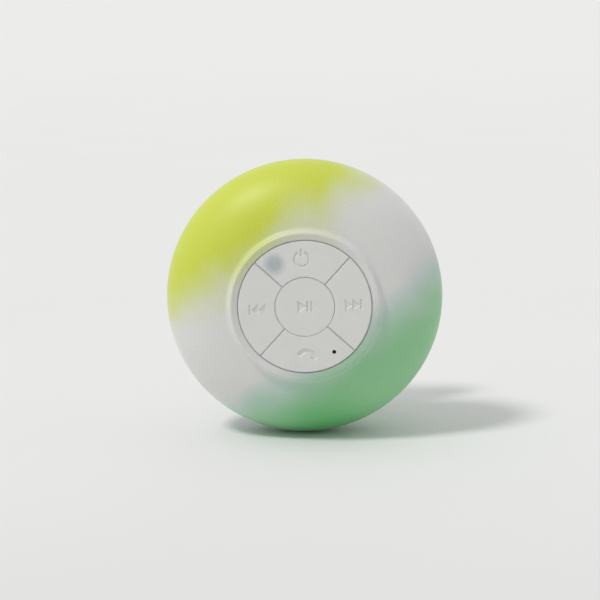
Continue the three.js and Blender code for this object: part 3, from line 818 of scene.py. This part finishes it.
def power_symbol(centre):
    """An open ring with a bar through the opening."""
    radius = 2.2 * MM
    half = STROKE / 2
    ring = arc(centre, (radius + half,) * 2, 118, 422, 40)
    ring += arc(centre, (radius - half,) * 2, 422, 118, 40)
    return [ring, bar((centre[0], centre[1] + 2.0 * MM), STROKE, 2.1 * MM)]


def skip_symbol(centre, towards):
    """Two triangles and a bar, towards +1 for the right and -1 for the left."""
    x, z = centre
    length = 1.75 * MM * towards
    gap = 0.5 * MM * towards
    height = 2.9 * MM
    return [
        triangle((x - gap, z), length, height),
        triangle((x + length, z), length, height),
        bar((x + length + gap + STROKE / 2 * towards, z), STROKE, height),
    ]


def play_pause_symbol(centre):
    x, z = centre
    height = 3.1 * MM
    return [
        triangle((x + 0.15 * MM, z), 2.2 * MM, height),
        bar((x + 0.85 * MM, z), STROKE, height),
        bar((x + 2.05 * MM, z), STROKE, height),
    ]


def phone_symbol(centre):
    """A telephone handset seen from the side, arched, with its right end lower."""
    x, z = centre
    handle = arc((x, z - 1.7 * MM), (2.75 * MM, 2.4 * MM), 150, 30, 16)
    under = arc((x, z - 1.7 * MM), (1.8 * MM, 1.25 * MM), 35, 145, 14)
    right = [(x + 2.85 * MM, z - 1.15 * MM), (x + 2.55 * MM, z - 1.9 * MM), (x + 1.5 * MM, z - 1.6 * MM)]
    left = [(2 * x - px, pz) for px, pz in reversed(right)]
    return [turned_outline(handle + right + under + left, -20, centre)]


SYMBOLS = {
    "power": power_symbol((-0.15 * MM, 14.7 * MM)),
    "previous": skip_symbol((-14.25 * MM, 0), -1),
    "next": skip_symbol((14.55 * MM, -0.15 * MM), 1),
    "call": phone_symbol((0.3 * MM, -13.8 * MM)),
    "play_pause": play_pause_symbol((0, 0.1 * MM)),
}


# ---- key pad ----

def ring_key_outline(degrees):
    """A quarter of the ring of keys, with sides that run parallel to the grooves."""
    inner = CENTRE_KEY_RADIUS + KEY_GAP
    outline = []
    for radius, start, end in ((PAD_RADIUS, -45, 45), (inner, 45, -45)):
        side = math.copysign(math.degrees(math.asin(KEY_GAP / 2 / radius)), end)
        outline += arc((0, 0), (radius, radius), degrees + start + side, degrees + end - side, 56)
    return outline


MICROPHONE = centre_of("microphone").xz
MICROPHONE_HOLE = 0.6 * MM          # radius
CORNER_ANGLE = math.radians(40)     # sharper edges than this count as a key's corners


def runs_along_y(edge):
    a, b = edge.verts
    return abs(a.co.y - b.co.y) > 0.1 * MM


def key_blank(name, outline, corners_round):
    """A key with rounded corners and a rounded front edge."""
    bm = bmesh.new()
    prism(bm, outline, KEY_BACK, PAD_DEPTH)
    if corners_round:
        sides = [edge for edge in bm.edges if runs_along_y(edge)]
        corners = [edge for edge in sides if edge.calc_face_angle(0) > CORNER_ANGLE]
        bmesh.ops.bevel(bm, geom=corners, offset=corners_round, segments=5, profile=0.5, affect="EDGES")
    front = min(bm.faces, key=lambda face: face.calc_center_median().y)
    bmesh.ops.bevel(bm, geom=list(front.edges), offset=KEY_ROUND, segments=5, profile=0.5, affect="EDGES")
    return object_from(bm, name)


def sink_symbol(key, outlines):
    """Cuts a symbol with sloping walls into a key's face."""
    above = 0.1 * MM
    flare = SYMBOL_FLARE * (1 + above / SYMBOL_DEPTH)
    for outline in outlines:
        bm = bmesh.new()
        prism(bm, outline, PAD_DEPTH - SYMBOL_DEPTH, PAD_DEPTH + above, flare)
        combine(key, object_from(bm, "symbol"))


def blacken_hole(key, black):
    """Gives the walls of the microphone hole a black material: painted shade in the hole."""
    key.data.materials.append(black)
    for face in key.data.polygons:
        away = (face.center.xz - MICROPHONE).length
        if away < MICROPHONE_HOLE * 1.05 and abs(face.normal.y) < 0.5:
            face.material_index = 1


def make_microphone_hole_shade(black):
    """A black disc that closes the bottom of the microphone hole, as painted shade deep in the hole."""
    back, front = PAD_DEPTH - 1.4 * MM, PAD_DEPTH - 0.7 * MM
    hole_shade_disc = pillars("microphone_hole_shade", [MICROPHONE], MICROPHONE_HOLE * 0.94, back, front)
    dress(smooth(hole_shade_disc), "call_key", "seal_rubber", black)


def make_key(name, outline, corners_round, material, black):
    key = key_blank(f"key_{name}_cap", outline, corners_round)
    sink_symbol(key, SYMBOLS[name])
    if name == "call":
        combine(key, pillars("hole", [MICROPHONE], MICROPHONE_HOLE, KEY_BACK - 1 * MM, PAD_DEPTH + 1 * MM))
    dress(smooth(key), f"{name}_key", "key_silicone", material, f"key_{name}")
    if name == "call":
        blacken_hole(key, black)
        make_microphone_hole_shade(black)


def make_membrane(material):
    """The silicone sheet behind the keys, with low ribs that stand in the grooves between them."""
    low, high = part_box("keypad_membrane")
    rib_half = 0.085 * MM
    rim_in = PAD_RADIUS + 0.04 * MM
    rim_out = rim_in + 0.18 * MM
    rim_top = PAD_DEPTH - 0.6 * MM
    rib_top = PAD_DEPTH - 0.12 * MM
    back, front = -high.y, -low.y
    ring_middle = CENTRE_KEY_RADIUS + KEY_GAP / 2
    ring_in, ring_out = ring_middle - rib_half, ring_middle + rib_half
    sheet = lathe("keypad_web", [
        (0, back), (high.x, back), (high.x, front),
        (rim_out, front), (rim_out, rim_top), (rim_in, rim_top), (rim_in, front),
        (ring_out, front), (ring_out, rib_top), (ring_in, rib_top), (ring_in, front), (0, front),
    ], 128)
    length = PAD_RADIUS - ring_middle + 0.1 * MM
    rib = rounded_rectangle((ring_middle + length / 2, 0), length, 2 * rib_half, rib_half * 0.5, 2)
    ribs = [turned_outline(rib, degrees) for degrees in (45, 135, 225, 315)]
    combine(sheet, prism_object("ribs", ribs, back + 0.1 * MM, rib_top), "UNION")
    combine(sheet, pillars("hole", [MICROPHONE], 0.8 * MM, 45 * MM, 55 * MM))
    dress(smooth(sheet), "housing", "membrane_silicone", material, "keypad_membrane")


def make_key_pad():
    silicone = key_material()
    # painted shade: the black for the walls and the bottom of the microphone hole
    black = plastic_material("microphone_hole_shade_black", (0.012, 0.012, 0.013), 0.8)
    for name, degrees in KEYS.items():
        make_key(name, ring_key_outline(degrees), KEY_CORNER, silicone, black)
    make_key("play_pause", circle((0, 0), CENTRE_KEY_RADIUS, 128), 0, silicone, black)
    make_membrane(plastic_material("membrane_silicone", (0.68, 0.68, 0.665), 0.55))


# ---- suction cup ----

def cup_profile():
    radius = cup_high.x
    neck_depth = REAR_DEPTH - 0.4 * MM
    rim_round = 0.5 * MM
    inside = bezier(((0, 8.6 * MM), (13 * MM, 8.6 * MM), (21 * MM, 4.6 * MM), (radius - 3.4 * MM, 0)), 40)
    rim = arc((radius - rim_round, rim_round), (rim_round, rim_round), -90, 0, 6)
    shoulder = (9.2 * MM, 12.4 * MM)
    outside = bezier(((radius, 1.3 * MM), (radius - 6 * MM, 5.6 * MM), (17 * MM, 11 * MM), shoulder), 40)
    fillet = bezier((shoulder, (8.1 * MM, 12.6 * MM), (8 * MM, 13.4 * MM)), 8)[1:]
    collar = arc((8 * MM - rim_round, neck_depth - rim_round), (rim_round, rim_round), 0, 90, 5)
    neck, head = 3.2 * MM, 4.7 * MM
    stem = [
        (neck, neck_depth), (neck, SOCKET_LIP + 0.3 * MM), (head, SOCKET_LIP + 0.3 * MM),
        (head, 20.4 * MM), (neck, SOCKET_END - 0.3 * MM), (0, SOCKET_END - 0.3 * MM),
    ]
    return [*inside, *rim, *outside, *fillet, *collar, *stem]


def make_cup():
    cup = lathe("suction_cup_skin", cup_profile())
    tip = -cup_low.z
    half = 4.6 * MM
    outline = [(half, -29 * MM), (-half, -29 * MM)]
    outline += arc((0, -(tip - 4 * MM)), (4 * MM, 4 * MM), 180, 360, 24)
    tab = cup_tab(outline)
    combine(cup, tab, "UNION")
    dress(smooth(cup), "cup", "clear_silicone", cup_material(), "suction_cup")


def cup_tab(outline):
    """The release tab at the cup's edge, rounded, with three grip ridges."""
    bm = bmesh.new()
    prism(bm, outline, 0.5 * MM, 1.9 * MM)
    around = [edge for edge in bm.edges if not runs_along_y(edge)]
    bmesh.ops.bevel(bm, geom=around, offset=0.35 * MM, segments=4, profile=0.5, affect="EDGES")
    tab = object_from(bm, "tab")
    ridges = [
        rounded_rectangle((0, -(33.4 + 1.3 * i) * MM), 4.6 * MM, 0.6 * MM, 0.28 * MM)
        for i in range(3)
    ]
    return combine(tab, prism_object("ridges", ridges, 1.5 * MM, 2.15 * MM), "UNION")


# ---- port cover and charging port ----

def body_x(depth, z):
    """The shell's outside to the right, at a depth behind the widest ring and a height."""
    share = (depth - WIDEST_DEPTH) / REAR_RISE
    radius = FLAT_RADIUS + RIM * math.sqrt(1 - share * share)
    return math.sqrt(radius * radius - z * z)


def cover_flap(low, high, back_x):
    """The cover's outer plate, which follows the shell's curve and has a rounded rim."""
    width = high.y - low.y
    height = high.z - low.z
    centre = (-(low.y + high.y) / 2, (low.z + high.z) / 2)
    corner = 1 * MM
    edge_round = 0.45 * MM
    quarter = arc((edge_round, 0), (edge_round, edge_round), 180, 90, 5)
    rim = [(inset, edge_round - rise) for inset, rise in quarter]
    steps = 8
    face = [(edge_round + (width / 2 - edge_round) * i / steps, 0) for i in range(1, steps + 1)]

    bm = bmesh.new()
    rings = []
    for inset, drop in [(0, None)] + rim + face:
        outline = rounded_rectangle(
            centre, width - 2 * inset, height - 2 * inset, max(corner - inset, 0), side_steps=12)
        rings.append([
            bm.verts.new((back_x if drop is None else body_x(depth, z) - drop, -depth, z))
            for depth, z in outline
        ])
    for here, beyond in zip(rings, rings[1:]):
        for i in range(len(here)):
            j = (i + 1) % len(here)
            bm.faces.new((here[j], here[i], beyond[i], beyond[j]))
    bm.faces.new(rings[0])
    clean(bm)
    return object_from(bm, "port_cover_flap")


def make_port_cover():
    """A rubber cover with a ridge that plugs the charging port."""
    low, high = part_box("port_cover")
    back_x = PORT_FLOOR + 0.3 * MM
    cover = cover_flap(low, high, back_x)
    ridge = rounded_rectangle((PORT_DEPTH, 0), 1.8 * MM, 7 * MM, 0.88 * MM)
    combine(cover, along_x("ridge", [ridge], low.x, back_x + 1 * MM), "UNION")
    rubber = plastic_material("cover_rubber", (0.55, 0.69, 0.62), 0.6)
    dress(smooth(cover), "cover", "cover_rubber", rubber, "port_cover")
    make_cover_web(rubber, high.z)


def make_cover_web(rubber, top):
    """The thin web of rubber between the shell and the top of the cover."""
    centre = (body_x(PORT_DEPTH, top) - 0.55 * MM, -PORT_DEPTH)
    outline = rounded_rectangle(centre, 0.5 * MM, 3.4 * MM, 0.2 * MM, corner_steps=3, side_steps=4)
    end, start = top - 0.7 * MM, top + 1 * MM
    steps = 12
    bm = bmesh.new()
    rings = []
    for i in range(steps + 1):
        z = end + (start - end) * i / steps
        rings.append([bm.verts.new((x, y, z)) for x, y in outline])
    for here, beyond in zip(rings, rings[1:]):
        for i in range(len(here)):
            j = (i + 1) % len(here)
            bm.faces.new((here[i], here[j], beyond[j], beyond[i]))
    bm.faces.new(rings[0][::-1])
    bm.faces.new(rings[-1])
    web = smooth(object_from(bm, "port_cover_web"))
    web.data.materials.append(rubber)
    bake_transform(web)


def make_charge_port(steel):
    low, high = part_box("charge_port")
    outer = rounded_rectangle((PORT_DEPTH, 0), high.y - low.y, high.z - low.z, 1.59 * MM, 12)
    inner = rounded_rectangle((PORT_DEPTH, 0), 2.6 * MM, 8.4 * MM, 1.29 * MM, 12)
    port = along_x("charge_port_shell", [outer], low.x, high.x)
    combine(port, along_x("mouth", [inner], low.x + 0.8 * MM, high.x + 1 * MM))
    dress(smooth(port), "housing", "plated_steel", steel, "charge_port")


# ---- screws ----

SCREWS = (("shell_screw", 4, True), ("board_screw", 3, True), ("driver_screw", 3, False))


def make_screw(node, towards_front, steel):
    """A pan-head screw with a cross recess and a ridged shank, the size of its CAD solid."""
    low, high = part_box(node)
    middle = (low + high) / 2
    head = (high.z - low.z) / 2
    length = high.y - low.y
    head_height, shank = (1.8 * MM, 1.15 * MM) if length > 10 * MM else (1.3 * MM, 0.9 * MM)
    root = shank * 0.8
    crown = head_height * 0.55
    profile = [(0, 0), *arc((head * 0.55, crown), (head * 0.45, crown), -90, 0, 8)]
    profile += [(head, head_height), (root, head_height)]
    pitch = 0.5 * MM
    turns = int((length - head_height - shank) / pitch)
    for i in range(turns):
        start = head_height + i * pitch
        profile += [(root, start + 0.1 * pitch), (shank, start + 0.5 * pitch), (root, start + 0.9 * pitch)]
    profile += [(shank * 0.3, length), (0, length)]
    screw = lathe(f"{node}_detailed", profile, 40)
    reach, width = head * 0.55, head * 0.16
    cross = [rounded_rectangle((0, 0), 2 * reach, 2 * width, width * 0.4, 2),
             rounded_rectangle((0, 0), 2 * width, 2 * reach, width * 0.4, 2)]
    for outline in cross:
        combine(screw, prism_object("recess", [outline], -1 * MM, head_height * 0.6))
    if towards_front:
        place = Matrix.Translation((middle.x, high.y, middle.z))
    else:
        place = Matrix.Translation((middle.x, low.y, middle.z)) @ Matrix.Rotation(math.pi, 4, "X")
    screw.data.transform(place)
    dress(smooth(screw), "housing", "plated_steel", steel, node)


# ---- pieces inside ----

def round_edges(node, width, segments=3):
    """Softens a carried-over CAD node: welds it, rounds its corners and shades it smoothly."""
    piece = bpy.data.objects[node]
    weld = piece.modifiers.new("weld", "WELD")
    weld.merge_threshold = 1e-6
    bevel = piece.modifiers.new("bevel", "BEVEL")
    bevel.width = width
    bevel.segments = segments
    bevel.limit_method = "ANGLE"
    bevel.angle_limit = math.radians(35)
    bevel.harden_normals = True


def finish_node(node, material):
    """Gives a carried-over CAD node its material."""
    piece = bpy.data.objects[node]
    piece.data.materials.clear()
    piece.data.materials.append(material)


def make_spider(material):
    """The corrugated cloth ring that centres the voice coil."""
    low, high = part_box("driver_spider")
    inner = 7.5 * MM
    sheet = 0.3 * MM
    waves = 5
    steps = 80
    middle = -(low.y + high.y) / 2
    swing = (high.y - low.y) / 2 - sheet / 2
    front = []
    for i in range(steps + 1):
        radius = inner + (high.x - inner) * i / steps
        front.append((radius, middle + swing * math.sin(2 * math.pi * waves * i / steps)))
    back = [(radius, depth - sheet / 2) for radius, depth in front]
    front = [(radius, depth + sheet / 2) for radius, depth in reversed(front)]
    spider = lathe("driver_spider_cloth", back + front, 96)
    dress(smooth(spider), "housing", "acoustic_cloth", material, "driver_spider")


def make_inner_pieces():
    steel = metal_material("plated_steel", (0.62, 0.62, 0.63), 0.32)
    black = plastic_material("black_plastic", (0.020, 0.020, 0.022), 0.45)
    rubber = plastic_material("seal_rubber", (0.018, 0.018, 0.019), 0.75)
    foam = weave_material("black_foam", (0.05, 0.05, 0.052), 0.35 * MM, 0.95)
    cloth = weave_material("acoustic_cloth", (0.045, 0.047, 0.05), 0.28 * MM)
    amber_cloth = weave_material("spider_cloth", (0.50, 0.30, 0.10), 0.3 * MM)
    paper = plastic_material("cone_paper", (0.030, 0.030, 0.032), 0.85, 0.4 * MM)
    board = board_material()
    white = plastic_material("plunger_plastic", (0.70, 0.70, 0.68), 0.4)

    for screws, count, towards_front in SCREWS:
        for i in range(count):
            make_screw(f"{screws}_{i + 1}", towards_front, steel)
    make_charge_port(steel)
    make_spider(amber_cloth)

    finishes = {
        steel: ["driver_top_plate", "driver_yoke", "microphone"],
        black: ["keypad_frame", "charge_port_tongue", "driver_basket", "wireless_chip", "amplifier_chip"],
        rubber: ["shell_seal", "microphone_boot", "driver_surround"],
        foam: ["driver_gasket", "battery_pad"],
        cloth: ["acoustic_mesh"],
        paper: ["driver_cone", "driver_dust_cap"],
        board: ["main_board", "charge_board", "driver_terminal"],
        metal_material("battery_foil", (0.66, 0.67, 0.68), 0.42, brushed=True): ["battery"],
        plastic_material("ferrite", (0.045, 0.045, 0.048), 0.62, 0.5 * MM): ["driver_magnet"],
        metal_material("coil_copper", (0.72, 0.33, 0.16), 0.3, brushed=True): ["driver_voice_coil"],
        plastic_material("led_lens", (0.74, 0.78, 0.86), 0.2): ["status_led"],
        plastic_material("lead_sleeve", (0.42, 0.03, 0.02), 0.4): [
            "speaker_lead", "battery_lead", "charge_lead"],
    }
    for name in ("power", "previous", "call", "next", "play_pause"):
        finishes[black].append(f"switch_{name}")
        finishes.setdefault(white, []).append(f"plunger_{name}")
    for material, nodes in finishes.items():
        for node in nodes:
            finish_node(node, material)
            round_edges(node, 0.12 * MM)


# ---- build ----


make_camera()
make_floor()
make_light()

shell = shell_material()
make_front_shell(shell)
make_rear_shell(shell)
make_key_pad()
make_cup()
make_port_cover()
make_inner_pieces()
